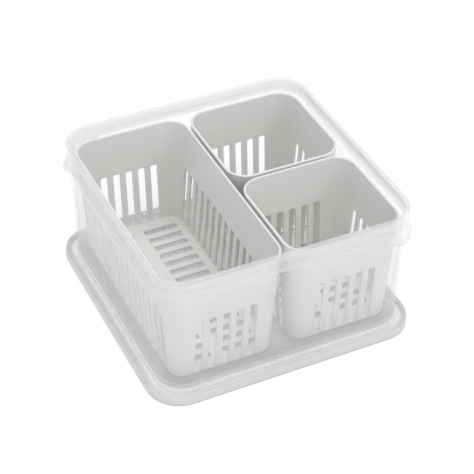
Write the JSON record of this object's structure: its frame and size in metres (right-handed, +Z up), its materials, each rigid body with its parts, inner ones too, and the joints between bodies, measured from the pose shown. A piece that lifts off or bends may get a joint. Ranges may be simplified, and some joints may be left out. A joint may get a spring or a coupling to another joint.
{
  "type": "compartment food storage container",
  "caption": "Square frosted food keeper with a lid stored under it and lift-out slotted drain baskets as compartments.",
  "frame": {"origin": "on the table, at the centre of the stack, under the lid's skirt", "axes": "+X right, +Y back, +Z up; the long basket runs along Y on the -X side"},
  "size_m": [0.1674, 0.1674, 0.0868],
  "materials": {
    "frosted_lid": "frosted translucent polypropylene",
    "frosted_box": "frosted translucent polypropylene",
    "white_basket": "satin white polypropylene"
  },
  "bodies": {
    "lid": {"lid": "frosted_lid"},
    "outer_box": {"outer_box": "frosted_box"},
    "basket_large": {"basket_large": "white_basket"},
    "basket_small_front": {"basket_small_front": "white_basket"},
    "basket_small_back": {"basket_small_back": "white_basket"}
  },
  "joints": [
    {"name": "box_lift", "type": "slide", "parent": "lid", "child": "outer_box", "axis": [0, 0, 1], "range_m": [0, 0.12]},
    {"name": "large_basket_lift", "type": "slide", "parent": "outer_box", "child": "basket_large", "axis": [0, 0, 1], "range_m": [0, 0.1]},
    {"name": "front_basket_lift", "type": "slide", "parent": "outer_box", "child": "basket_small_front", "axis": [0, 0, 1], "range_m": [0, 0.1]},
    {"name": "back_basket_lift", "type": "slide", "parent": "outer_box", "child": "basket_small_back", "axis": [0, 0, 1], "range_m": [0, 0.1]}
  ]
}
